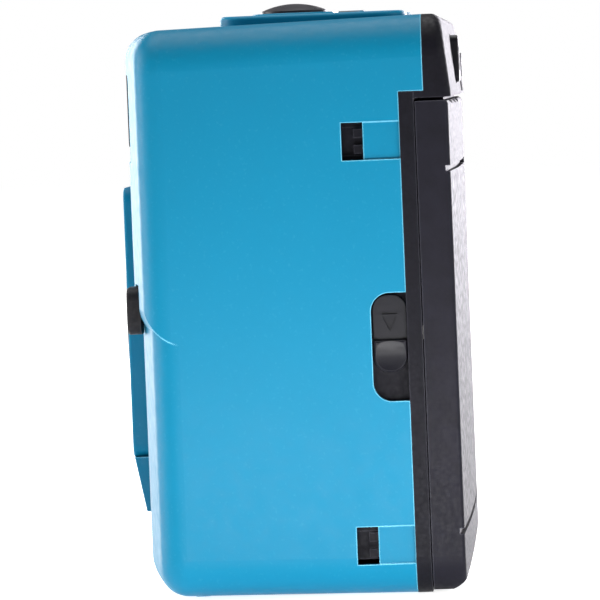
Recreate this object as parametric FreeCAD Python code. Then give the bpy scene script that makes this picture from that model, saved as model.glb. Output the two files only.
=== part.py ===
"""Half frame 35 mm film camera with a built-in flash, as an assembly of separate pieces.

Frame: +Z up, the lens looks along -Y, +X is the latch end of the film door.
Origin: middle of the footprint, on the surface that the camera stands on. Millimetres.
"""
import FreeCAD, Part
import math
import os
from FreeCAD import Vector as V

# ---------------------------------------------------------------- driving dimensions
WIDTH = 110.0            # along X
BODY_TOP = 61.4          # top of the casing at its open rear edge
SEAM_Y = 13.6            # rear edge of the blue front shell
STRIP_Y = 15.2           # rear face of the black chassis flange
BACK_Y = 18.9            # rear corner of the film door
BACK_BOW = 0.55          # how far the middle of the door bows out
LEAN = 0.9               # how far the rear cover's back leans forward at its top
DRAFT_TOP = 0.8          # how far the casing's top falls towards the front
DRAFT_BOTTOM = 0.6       # how far its underside rises towards the front
DRAFT_SIDE = 0.5         # how far each end moves in towards the front
FRONT_LIMIT_Y = -20.0    # plane where the drafts are measured
WALL = 1.5               # casing wall
ARCH_R = 410.0           # plan radius of the bowed front face
LOWER_FRONT_Y = -16.9    # crest of the front face below the step
UPPER_FRONT_Y = -17.7    # crest of the front face above the step
STEP_Z = 27.3            # underside of the thicker upper front
STEP_RISE = 5.0          # height over which the step curls in
STEP_DEPTH = 3.6         # how deep the step curls in
TOP_R = 4.5              # end to top corner radius
BOTTOM_R = 4.0           # end to underside corner radius
FRONT_R = 3.0            # radius round the front face
SPLIT_Z = 53.3           # above this the front shell reaches further back
TOP_REAR_Y = 16.25       # rear edge of the shell above SPLIT_Z
DOOR_TOP_Z = 52.2        # top of the film door
DOOR_FOOT_Z = 0.35       # underside of the film door
AXIS_Z = 28.6            # height of the lens and of the film's middle
FILM_Y = 13.0            # film plane
RAIL_Z = (5.5, 51.5)     # floor and ceiling of the film chambers
CASSETTE = (39.2, 3.0)   # axis of the film cassette, X and Y
CASSETTE_R = 12.9        # cassette chamber radius
SPOOL = (-38.6, 7.4)     # axis of the take-up spool and thumb wheel
SPOOL_R = 5.6            # take-up spool radius
WHEEL_R = 11.9           # thumb wheel radius
WHEEL_Z = (54.6, 57.4)   # thumb wheel thickness
PAWL = (-29.6, 1.4)      # pivot of the anti-reverse pawl
SPROCKET = (-20.6, 6.6)  # axis of the film sprocket
SPROCKET_R = 6.05        # sprocket drum radius
BATTERY = (18.4, -6.4)   # axis of the AAA cell
BATTERY_R = 5.25         # radius of the AAA cell
BATTERY_LENGTH = 44.5    # its length
PANEL_W, PANEL_H = 34.0, 30.2    # raised lens panel
PANEL_FRONT_Y = -18.35   # front face of the lens panel
LENS_BEZEL_R = 10.2      # radius of the lens bezel
DECK_X = (-50.0, -6.0)   # raised top deck
DECK_Y = (-8.0, 13.4)    # its depth range
DECK_TOP = 62.5          # its top
BUTTON = (-35.0, -0.4)   # shutter button axis
BUTTON_R = 3.9           # radius of the shutter button
BUTTON_TOP = 64.0        # top of the shutter button
COUNTER = (-20.6, 6.6)   # frame counter axis, over the sprocket
FINDER_Z = 52.8          # viewfinder axis height
FINDER_X = 0.0           # and its X
WINDOW_Z = (48.2, 5.4)   # middles of the two snap windows at each end
WINDOW_H = 4.0           # their height
WINDOW_Y = (7.4, 9.7)    # the open part of each window
GROOVE_DEPTH = 0.35      # core-pull groove behind each window
LATCH_Z = (20.6, 32.1)   # opening for the latch
LATCH_Y = 9.8            # its front edge
LATCH_CORNER_R = 2.0     # radius of its front corners
HINGE = (-52.6, 17.0)    # film door hinge axis, X and Y
HINGE_R = 1.5            # radius of the knuckles
PIN_R = 0.6              # radius of the hinge pin
HINGE_FIXED = [(3.0, 6.0), (24.5, 28.5), (47.0, 50.0)] # knuckles on the chassis, as Z ranges
HINGE_MOVING = [(6.3, 24.2), (28.8, 46.7)] # knuckles on the door
DOOR_X0 = -50.7          # hinge edge of the door
RUN = 0.05               # running clearance on a radius
GAP = 0.3                # clearance between bodies
HALF = WIDTH / 2         # half the width
FLASH_X = (15.0, 37.0)   # opening of the flash window
FLASH_Z = (46.6, 56.2)   # its height range
SWITCH_X, SWITCH_Z = 38.0, 30.7  # flash switch knob at rest
SWITCH_TRAVEL = 4.0      # how far the knob slides
SCREWS = [(-10.8, 56.4), (24.0, 56.4), (-30.0, 4.6), (24.6, 4.6)] # X and Z of the case screws
BLADE_PIVOT = (-7.6, AXIS_Z + 5.4)   # shutter blade pivot, X and Z
TRIP_PIVOT = (-8.6, AXIS_Z - 8.0)    # trip lever pivot, X and Z

PARTS = {}


# ---------------------------------------------------------------- helpers
def box(x0, x1, y0, y1, z0, z1):
    return Part.makeBox(x1 - x0, y1 - y0, z1 - z0, V(x0, y0, z0))


def rod(x, y, z0, z1, r):
    """Upright cylinder."""
    return Part.makeCylinder(r, z1 - z0, V(x, y, z0), V(0, 0, 1))


def rod_y(x, z, y0, y1, r):
    """Cylinder along Y."""
    return Part.makeCylinder(r, y1 - y0, V(x, y0, z), V(0, 1, 0))


def rod_x(y, z, x0, x1, r):
    """Cylinder along X."""
    return Part.makeCylinder(r, x1 - x0, V(x0, y, z), V(1, 0, 0))


def fuse(*shapes):
    shape = shapes[0].multiFuse(list(shapes[1:])) if len(shapes) > 1 else shapes[0]
    return shape.removeSplitter()


def cut(shape, *tools):
    for tool in tools:
        shape = shape.cut(tool)
    return shape


def rounded_box(x0, x1, y0, y1, z0, z1, r, axis):
    """Box with its four edges along one axis rounded."""
    shape = box(x0, x1, y0, y1, z0, z1)
    edges = [e for e in shape.Edges if abs(getattr(e.tangentAt(e.FirstParameter), axis)) > 0.9]
    return shape.makeFillet(r, edges)


def softened(shape, r, edges):
    """Fillet that keeps the sharp shape when the kernel can't make one."""
    try:
        made = shape.makeFillet(r, edges)
        if made.isValid() and made.Volume > 0:
            return made
    except Exception:
        pass
    print("not rounded:", r, len(edges))
    return shape


def rim(shape, axis, value, tolerance=0.01):
    """Edges that lie in the plane where axis equals value."""
    return [e for e in shape.Edges
            if all(abs(getattr(v, axis) - value) < tolerance for v in e.discretize(5))]


def spring(x, y, z0, z1, r, wire_r, turns):
    """Coil spring on an upright axis."""
    helix = Part.makeHelix((z1 - z0) / turns, z1 - z0, r)
    helix.translate(V(x, y, z0))
    section = Part.Wire([Part.makeCircle(wire_r, V(x + r, y, z0), V(0, 1, 0))])
    return Part.Wire(helix.Edges).makePipeShell([section], True, True)


def add(name, *shapes):
    """Store one node; several shapes stay separate solids."""
    solids = [s for shape in shapes for s in shape.Solids]
    PARTS[name] = Part.makeCompound(solids) if len(solids) > 1 else solids[0]
    return PARTS[name]


# ---------------------------------------------------------------- casing surfaces
def casing_section(y, inset=0.0):
    """Rounded outline of the casing at one depth, shrunk by inset."""
    share = (TOP_REAR_Y - y) / (TOP_REAR_Y - FRONT_LIMIT_Y)
    half = HALF - DRAFT_SIDE * share - inset
    low = DRAFT_BOTTOM * share + inset
    high = BODY_TOP - DRAFT_TOP * share - inset
    rb, rt = BOTTOM_R - inset, TOP_R - inset
    s = math.sqrt(0.5)
    corners = [(-half + rb, low + rb, rb, -1, -1), (half - rb, low + rb, rb, 1, -1),
               (half - rt, high - rt, rt, 1, 1), (-half + rt, high - rt, rt, -1, 1)]
    arcs = []
    for x, z, r, sx, sz in corners:
        ends = [V(x + sx * r, y, z), V(x, y, z + sz * r)]
        if sx * sz < 0:
            ends.reverse()
        arcs.append((ends, V(x + sx * r * s, y, z + sz * r * s)))
    edges = []
    for i, (ends, middle) in enumerate(arcs):
        following = arcs[(i + 1) % 4][0]
        edges.append(Part.Arc(ends[0], middle, ends[1]).toShape())
        edges.append(Part.makeLine(ends[1], following[0]))
    return Part.Wire(edges)


def casing_block(inset=0.0, rear_y=TOP_REAR_Y):
    sections = [casing_section(rear_y, inset), casing_section(FRONT_LIMIT_Y, inset)]
    return Part.makeLoft(sections, True, True)


def behind_arch(crest_y):
    """Everything behind the bowed front surface with that crest."""
    x = HALF + 5
    side_y = crest_y + ARCH_R - math.sqrt(ARCH_R ** 2 - x ** 2)
    front = Part.Arc(V(-x, side_y, -5), V(0, crest_y, -5), V(x, side_y, -5)).toShape()
    outline = Part.Wire([front, Part.makeLine(V(x, side_y, -5), V(x, 30, -5)),
                         Part.makeLine(V(x, 30, -5), V(-x, 30, -5)),
                         Part.makeLine(V(-x, 30, -5), V(-x, side_y, -5))])
    return Part.Face(outline).extrude(V(0, 0, 80))


def arch_face_edges(shape, crest_y):
    """Outer edges of the bowed front face."""
    for face in shape.Faces:
        surface = face.Surface
        if surface.TypeId == "Part::GeomCylinder" and abs(surface.Radius - ARCH_R) < 1:
            return face.OuterWire.Edges
    return []


def above_step():
    """Solid above the curled step, following the bowed front."""
    crest = UPPER_FRONT_Y
    front = V(0, crest - 2, STEP_Z + STEP_RISE)
    start = V(0, crest, STEP_Z + STEP_RISE)
    bulge = V(0, crest + STEP_DEPTH * 0.29, STEP_Z + STEP_RISE * 0.29)
    end = V(0, crest + STEP_DEPTH, STEP_Z)
    points = [end, V(0, crest + 60, STEP_Z), V(0, crest + 60, 75), V(0, crest - 2, 75), front, start]
    edges = [Part.Arc(start, bulge, end).toShape()]
    edges += [Part.makeLine(a, b) for a, b in zip(points, points[1:])]
    face = Part.Face(Part.Wire(Part.__sortEdges__(edges)))
    centre = V(0, crest + ARCH_R, 0)
    turned = face.copy()
    turned.rotate(centre, V(0, 0, 1), -9)
    return turned.revolve(centre, V(0, 0, 1), 18)


def outer_casing():
    """The outside of the front shell, solid."""
    block = casing_block()
    lower = block.common(behind_arch(LOWER_FRONT_Y))
    lower = softened(lower, FRONT_R, arch_face_edges(lower, LOWER_FRONT_Y))
    upper = block.common(behind_arch(UPPER_FRONT_Y))
    upper = softened(upper, FRONT_R, arch_face_edges(upper, UPPER_FRONT_Y))
    return fuse(lower, upper.common(above_step()))


# ---------------------------------------------------------------- front shell and its trim
def snap_windows(side):
    """Cutters for the snap windows and the grooves that run back from them."""
    tools = []
    inner, outer = (HALF - 4, HALF + 1)
    for z in WINDOW_Z:
        low, high = z - WINDOW_H / 2, z + WINDOW_H / 2
        hole = box(inner, outer, WINDOW_Y[0], WINDOW_Y[1], low, high)
        groove = box(HALF - GROOVE_DEPTH - 0.05, outer, WINDOW_Y[1] - 0.1, SEAM_Y + 0.1, low, high)
        tools += [hole, groove]
    shape = tools[0].multiFuse(tools[1:])
    return shape if side > 0 else shape.mirror(V(0, 0, 0), V(1, 0, 0))


def latch_opening(grow=0.0, x0=HALF - 4):
    """Opening for the latch: rounded at the front, open at the seam."""
    low, high = LATCH_Z
    shape = rounded_box(x0, HALF + 1, LATCH_Y + grow, SEAM_Y + 6, low + grow, high - grow,
                        LATCH_CORNER_R, "x")
    return shape.common(box(x0, HALF + 1, 0, SEAM_Y + 0.5, 0, 60))


def front_shell():
    shell = outer_casing()
    inside = casing_block(WALL, TOP_REAR_Y + 1).common(behind_arch(LOWER_FRONT_Y + WALL))
    shell = shell.cut(inside)
    shell = shell.cut(box(-60, 60, SEAM_Y, 20, -1, SPLIT_Z))
    shell = cut(shell, snap_windows(1), snap_windows(-1), latch_opening())
    # openings in the front
    shell = shell.cut(rod_y(0, AXIS_Z, -21, -10, LENS_BEZEL_R + 0.2))
    shell = shell.cut(rounded_box(FLASH_X[0], FLASH_X[1], -21, -12, *FLASH_Z, 1.2, "y"))
    shell = shell.cut(rounded_box(-4.8, 4.8, -21, -12, FINDER_Z - 4.8, FINDER_Z + 4.8, 1.0, "y"))
    shell = shell.cut(rounded_box(SWITCH_X - 3.5, SWITCH_X + SWITCH_TRAVEL + 3.5, -21, -15.3,
                                  SWITCH_Z - 2.85, SWITCH_Z + 2.85, 1.6, "y"))
    shell = shell.cut(box(SWITCH_X - 3.4, SWITCH_X + SWITCH_TRAVEL + 0.2, -21, -10,
                          SWITCH_Z - 1.4, SWITCH_Z + 1.4))
    # openings in the top for the deck's bosses
    shell = shell.cut(rod(*BUTTON, 50, 70, BUTTON_R + 1.2))
    shell = shell.cut(rod(*COUNTER, 50, 70, 7.4))
    # openings in the underside
    shell = shell.cut(rod(*CASSETTE, -1, 4, 9.2))
    shell = shell.cut(rod(*SPROCKET, -1, 4, 2.45))
    shell = shell.cut(box(BATTERY[0] - 7.2, BATTERY[0] + 7.2, BATTERY[1] - 6.4, BATTERY[1] + 6.4, -1, 4))
    # wrist strap anchor at the far end: a pocket with an upright bar
    pocket = box(-HALF - 1, -HALF + 3.2, -4.5, 3.5, 40.5, 48.5)
    bar = rod(-HALF + 1.6, -0.5, 39.9, 49.1, 1.0)
    liner = box(-HALF + 0.6, -HALF + 4.4, -5.7, 4.7, 39.3, 49.7).cut(
        box(-HALF - 1, -HALF + 3.2, -4.5, 3.5, 40.5, 48.5))
    shell = fuse(shell.cut(pocket), liner, bar)
    # lower pad, sloping back under the lens panel
    slope = Part.Face(Part.makePolygon([V(-PANEL_W / 2, -16.0, 13.6), V(-PANEL_W / 2, -18.2, 13.6),
                                        V(-PANEL_W / 2, -17.05, 7.5), V(-PANEL_W / 2, -16.0, 7.5),
                                        V(-PANEL_W / 2, -16.0, 13.6)]))
    pad = slope.extrude(V(PANEL_W, 0, 0))
    feet = [rounded_box(x - 6, x + 6, -10.4, -8.8, 0, 1.2, 0.5, "z") for x in (-30, 0, 40)]
    shell = fuse(shell, pad, *feet)
    shell = shell.cut(rod_y(0, AXIS_Z, -21, -10, LENS_BEZEL_R + 0.2))
    # screw bosses for the chassis screws
    bosses = []
    for x, z in SCREWS:
        boss = rod_y(x, z, 4.0, SEAM_Y - 2.8, 2.0).cut(rod_y(x, z, 5.0, SEAM_Y, 0.9))
        bosses.append(boss)
    webs = [box(x - 0.5, x + 0.5, 4.0, SEAM_Y - 2.8, *((z + 1.8, z + 5.5) if z > 30 else (z - 5.5, z - 1.8)))
            .common(casing_block(0.5)) for x, z in SCREWS]
    return add("front_shell", fuse(shell, *bosses, *webs))


def lens_panel():
    """Raised plate round the lens."""
    z0, z1 = AXIS_Z - PANEL_H / 2, AXIS_Z + PANEL_H / 2
    plate = rounded_box(-PANEL_W / 2, PANEL_W / 2, PANEL_FRONT_Y, -16.0, z0, z1, 1.6, "y")
    plate = softened(plate, 0.3, rim(plate, "y", PANEL_FRONT_Y))
    plate = plate.cut(PARTS["front_shell"])
    plate = max(plate.Solids, key=lambda s: s.Volume)
    plate = plate.cut(rod_y(0, AXIS_Z, -21, -10, LENS_BEZEL_R + 0.1))
    return add("lens_panel", max(plate.Solids, key=lambda s: s.Volume))


def top_deck():
    """Raised cover over the shutter button and the counter, seated on the shell."""
    deck = rounded_box(*DECK_X, *DECK_Y, 58.2, DECK_TOP, 3.0, "z")
    deck = softened(deck, 0.5, rim(deck, "z", DECK_TOP))
    solid_casing = outer_casing()
    deck = deck.cut(solid_casing)
    deck = max(deck.Solids, key=lambda s: s.Volume)
    collar = rod(*BUTTON, 60.8, DECK_TOP + 0.4, BUTTON_R + 1.1)
    collar = softened(collar, 0.25, rim(collar, "z", DECK_TOP + 0.4))
    ring = rod(*COUNTER, 58.0, DECK_TOP - 0.2, 7.3)
    deck = fuse(deck, collar, ring)
    deck = deck.cut(rod(*BUTTON, 50, 70, BUTTON_R + 0.1))
    deck = deck.cut(rod(*BUTTON, 50, 60.8, BUTTON_R + 0.85))
    deck = deck.cut(rod(*COUNTER, 50, DECK_TOP - 1.2, 6.3))
    deck = fuse(deck.cut(counter_window_shape(0.05)), rod(*COUNTER, 59.9, DECK_TOP - 1.1, 1.1))
    return add("top_deck", deck)


def counter_window_shape(grow=0.0):
    return rounded_box(COUNTER[0] - 3.0 - grow, COUNTER[0] + 3.0 + grow,
                       COUNTER[1] - 1.8 - grow, COUNTER[1] + 1.8 + grow,
                       DECK_TOP - 1.1, DECK_TOP + 0.25, 0.8, "z")


def small_windows():
    add("counter_window", counter_window_shape())
    # ribbed flash diffuser
    x0, x1, z0, z1 = FLASH_X[0] + 0.1, FLASH_X[1] - 0.1, FLASH_Z[0] + 0.1, FLASH_Z[1] - 0.1
    diffuser = rounded_box(x0, x1, -18.0, -15.4, z0, z1, 1.1, "y")
    diffuser = diffuser.common(behind_arch(UPPER_FRONT_Y + 0.2))
    add("flash_window", diffuser)
    frame = rounded_box(-4.7, 4.7, -18.2, -15.6, FINDER_Z - 4.7, FINDER_Z + 4.7, 0.9, "y")
    frame = frame.cut(rounded_box(-3.4, 3.4, -19, -15, FINDER_Z - 3.9, FINDER_Z + 3.9, 0.5, "y"))
    frame = frame.cut(box(-3.8, 3.8, -17.6, -15, FINDER_Z - 4.2, FINDER_Z + 4.2))
    add("viewfinder_front_frame", frame)


# ---------------------------------------------------------------- chassis and rear cover
def rear_outline(y0, y1, inset=0.0):
    """Slab of the casing's rear outline between two depths."""
    wire = casing_section(TOP_REAR_Y, inset)
    face = Part.Face(wire)
    face.translate(V(0, y0 - TOP_REAR_Y, 0))
    return face.extrude(V(0, y1 - y0, 0))


def chassis():
    """Black inner moulding: flange, film chambers, film gate and snap hooks."""
    low, high = RAIL_Z
    flange = rear_outline(SEAM_Y, STRIP_Y).common(box(-60, 60, 0, 20, 0, SPLIT_Z - 0.05))
    flange = flange.cut(box(-51.6, 53.2, 0, 20, 3.2, high + 0.2))
    walls = [box(-51.6, 53.2, -8.0, STRIP_Y, low - 1.4, low),            # floor
             box(-51.6, 53.2, -8.0, STRIP_Y, high, high + 1.2),          # ceiling
             box(-51.6, -50.6, 4.0, STRIP_Y, low, high),                 # end wall
             box(52.2, 53.2, 5.0, STRIP_Y, low, high),                   # latch end wall
             box(-28.2, 26.6, FILM_Y - 1.6, FILM_Y, low, high)]          # gate plate
    x, y = CASSETTE
    cassette = rod(x, y, low, high, CASSETTE_R + 0.8).cut(rod(x, y, low, high, CASSETTE_R))
    cassette = cassette.cut(box(x - 20, x + 20, y + 2.5, y + 20, 0, 60))
    cheek = box(x - CASSETTE_R - 0.8, x - CASSETTE_R, y + 2.5, FILM_Y, low, high)
    x, y = SPOOL
    spool_r = 10.6
    take_up = rod(x, y, low, high, spool_r + 0.8).cut(rod(x, y, low, high, spool_r))
    take_up = take_up.cut(box(x - 20, x + 20, y, y + 20, 0, 60))
    spool_cheek = box(x + spool_r, x + spool_r + 0.8, y, FILM_Y, low, high)
    body = fuse(flange, *walls, cassette, cheek, take_up, spool_cheek)
    # rails that guide the film past the gate
    rails = [box(-28.2, 26.6, FILM_Y, FILM_Y + 0.25, z - 0.8, z + 0.8)
             for z in (AXIS_Z - 18.6, AXIS_Z - 14.4, AXIS_Z + 14.4, AXIS_Z + 18.6)]
    body = fuse(body, *rails)
    body = body.cut(box(-8.6, 8.6, 8, 20, AXIS_Z - 12.2, AXIS_Z + 12.2))        # half frame aperture
    sx, sy = SPROCKET
    body = body.cut(box(sx - 7.2, sx + 7.2, 9, 20, AXIS_Z + 11.0, AXIS_Z + 20.0))   # sprocket window
    body = body.cut(rod(sx, sy, AXIS_Z + 12.0, AXIS_Z + 18.4, 7.6))            # sprocket drum
    body = body.cut(rod(sx, sy, -1, 60, 1.65))                                 # sprocket shaft
    body = body.cut(rod(SPOOL[0], SPOOL[1], high - 1, 60, 3.3))                # spool neck
    body = body.cut(rod(SPOOL[0], SPOOL[1], 0, low + 0.1, 1.6 + RUN))          # spool foot
    body = body.cut(rod(CASSETTE[0], CASSETTE[1], -1, 20, 3.2 + RUN))          # rewind fork
    body = body.cut(box(-6.0, 6.0, -9, 20, high - 0.3, 60).common(box(-6, 6, -9, 10.9, 0, 60)))
    bx, by = BATTERY
    body = body.cut(rod(bx, by, -1, low + 0.1, BATTERY_R + 1.0))
    body = body.cut(box(-24.0, -12.0, -9, -0.6, 0, low + 1))
    # latch seat, hooks in the snap windows, hinge knuckles
    low_z = LATCH_Z[0]
    body = fuse(body, box(51.9, 53.55, LATCH_Y - 1.6, STRIP_Y, low_z - 7.6, LATCH_Z[1] + 2.0))
    body = body.cut(box(50, 56, 10.2, 12.0, low_z + 5.5, low_z + 10.2))         # slot for the slider's stem
    body = body.cut(box(50, 53.1, 9.7, 14.4, low_z - 0.7, low_z + 10.4))        # room for the slider's hook
    body = body.cut(box(51.85, 53.1, 12.0, 13.2, low_z - 6.2, low_z))           # spring channel
    body = body.cut(box(51.85, 53.1, 14.3, 16.0, low_z + 4.8, low_z + 8.2))     # way in for the door's catch
    hooks = []
    for side in (-1, 1):
        for z in WINDOW_Z:
            arm = box(52.2, 53.3, 7.0, SEAM_Y + 0.2, z - 1.5, z + 1.5)
            teeth = [box(52.6, 54.0, WINDOW_Y[1] - 1.0, WINDOW_Y[1] - 0.1, z + a, z + b)
                     for a, b in ((-1.3, -0.4), (0.4, 1.3))]
            hook = fuse(arm, *teeth)
            hooks.append(hook if side > 0 else hook.mirror(V(0, 0, 0), V(1, 0, 0)))
    body = fuse(body, *hooks)
    body = body.cut(box(-52.1, -50, 0, 5, 38, 51.4))
    body = fuse(body, rod(*PAWL, high + 1.1, WHEEL_Z[0] - 0.1, 0.8))
    for z0, z1 in HINGE_FIXED:
        knuckle = fuse(rod(HINGE[0], HINGE[1], z0, z1, HINGE_R),
                       box(HINGE[0] - HINGE_R, HINGE[0] + 0.6, SEAM_Y + 0.5, HINGE[1], z0, z1))
        body = fuse(body, knuckle)
    body = body.cut(rod(HINGE[0], HINGE[1], HINGE_FIXED[0][0] - 1, HINGE_FIXED[-1][1] + 1, PIN_R))
    for x, z in SCREWS:
        low_end, high_end = (z - 6, z + 2.6) if z > 30 else (z - 2.0, z + 1.4)
        lug = box(x - 2.6, x + 2.6, SEAM_Y - 2.6, SEAM_Y - 1.2, low_end, high_end)
        body = fuse(body, lug)
    for x, z in SCREWS:
        body = body.cut(rod_y(x, z, 5, 20, 1.15))
        if z < 30:
            body = body.cut(rod_y(x, z, SEAM_Y - 1.16, 20, 2.3))
    body = body.cut(PARTS["front_shell"])
    return add("chassis", max(body.Solids, key=lambda s: s.Volume))


def rear_top_cover():
    """Fixed black cover over the door, with the eyepiece opening and the thumb wheel slot."""
    cover = rear_outline(SEAM_Y + 0.02, BACK_Y + 0.25)
    cover = cover.common(box(-60, 60, 0, 30, DOOR_TOP_Z + 0.35, 70))
    cover = cover.cut(box(-60, 60, 0, TOP_REAR_Y + 0.02, SPLIT_Z - 0.02, 70))
    cover = cover.cut(box(-60, 60, 0, STRIP_Y + 0.02, 0, SPLIT_Z))
    cover = fuse(cover, box(-51.8, 51.8, SEAM_Y - 0.6, TOP_REAR_Y + 0.1, SPLIT_Z + 0.1, SPLIT_Z + 1.3))
    back = BACK_Y + 0.25
    # the back face leans forward towards the top
    lean = Part.makePolygon([V(-60, back, DOOR_TOP_Z + 1), V(-60, back - LEAN, 62), V(-60, back + 4, 62),
                             V(-60, back + 4, DOOR_TOP_Z + 1), V(-60, back, DOOR_TOP_Z + 1)])
    cover = cover.cut(Part.Face(lean).extrude(V(120, 0, 0)))
    cover = softened(cover, 1.2, [e for e in cover.Edges if e.BoundBox.YMin > back - LEAN - 0.1
                                  and e.BoundBox.ZMax > SPLIT_Z + 2])
    # hollow behind the back face, open towards the front
    cover = cover.cut(box(-52.4, 52.4, TOP_REAR_Y - 0.2, back - 1.4, SPLIT_Z + 1.3, BODY_TOP - 1.6))
    # scoop and slot for the thumb wheel
    x, y = SPOOL
    scoop = rod(x, y + 28.5, SPLIT_Z - 0.4, SPLIT_Z + 6.2, 18.2)
    scoop = softened(scoop, 1.5, rim(scoop, "z", SPLIT_Z + 6.2))
    cover = cover.cut(scoop)
    cover = cover.cut(rod(x, y, WHEEL_Z[0] - GAP, WHEEL_Z[1] + GAP, WHEEL_R + GAP))
    # eyepiece opening
    ez0, ez1 = SPLIT_Z + 0.4, 60.0
    cover = cover.cut(rounded_box(-4.4, 4.4, 10, 25, ez0 + 0.2, ez1 - 0.6, 0.8, "y"))
    cover = cover.cut(rod_y(9.4, 57.0, 10, 25, 1.25))
    for sx, sz in SCREWS:
        if sz > 30:
            cover = cover.cut(rod_y(sx, sz, SEAM_Y - 2, 16.4, 2.4))
    return add("rear_top_cover", max(cover.Solids, key=lambda s: s.Volume))


def viewfinder():
    """Reversed telescope finder: front lens, tube, rear lens and eyepiece trim."""
    y0, y1 = -15.5, 15.9
    tube = rounded_box(-4.6, 4.6, y0, y1, FINDER_Z - 4.6, 58.4, 0.6, "y")
    tube = tube.cut(rounded_box(-3.9, 3.9, y0 - 1, y1 + 1, FINDER_Z - 3.9, 57.7, 0.4, "y"))
    tube = tube.cut(box(-5, 5, 10.6, 16, 40, SPLIT_Z + 1.45))
    solid = PARTS["front_shell"].multiFuse([PARTS["chassis"], PARTS["rear_top_cover"], PARTS["top_deck"]])
    tube = max(tube.cut(solid).Solids, key=lambda s: s.Volume)
    add("viewfinder_tube", tube)
    front = rounded_box(-3.7, 3.7, -17.4, -15.6, FINDER_Z - 4.1, FINDER_Z + 4.1, 0.4, "y")
    front = front.cut(Part.makeSphere(14.0, V(0, -17.4 - 13.3, FINDER_Z)))
    add("viewfinder_front_lens", front)
    rear = rounded_box(-3.7, 3.7, 13.4, 15.0, SPLIT_Z + 1.9, 57.6, 0.4, "y")
    rear = rear.common(Part.makeSphere(16.0, V(0, -1.0, 56.0)))
    add("viewfinder_rear_lens", rear)
    trim = rounded_box(-4.3, 4.3, 16.6, BACK_Y + 0.6, SPLIT_Z + 0.7, 59.3, 0.7, "y")
    trim = trim.cut(rounded_box(-3.1, 3.1, 16, 20, SPLIT_Z + 2.0, 58.1, 0.5, "y"))
    trim = softened(trim, 0.2, rim(trim, "y", BACK_Y + 0.6))
    add("eyepiece_frame", trim)
    glass = rounded_box(-3.0, 3.0, 17.0, 17.8, SPLIT_Z + 2.1, 58.0, 0.4, "y")
    add("eyepiece_window", glass)


# ---------------------------------------------------------------- lens and shutter
def upright_frame(y, z, half_x, half_z):
    """Closed rectangle facing the lens axis at one depth."""
    x0, x1, z0, z1 = -half_x, half_x, z - half_z, z + half_z
    return Part.makePolygon([V(x0, y, z0), V(x1, y, z0), V(x1, y, z1), V(x0, y, z1), V(x0, y, z0)])


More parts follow.
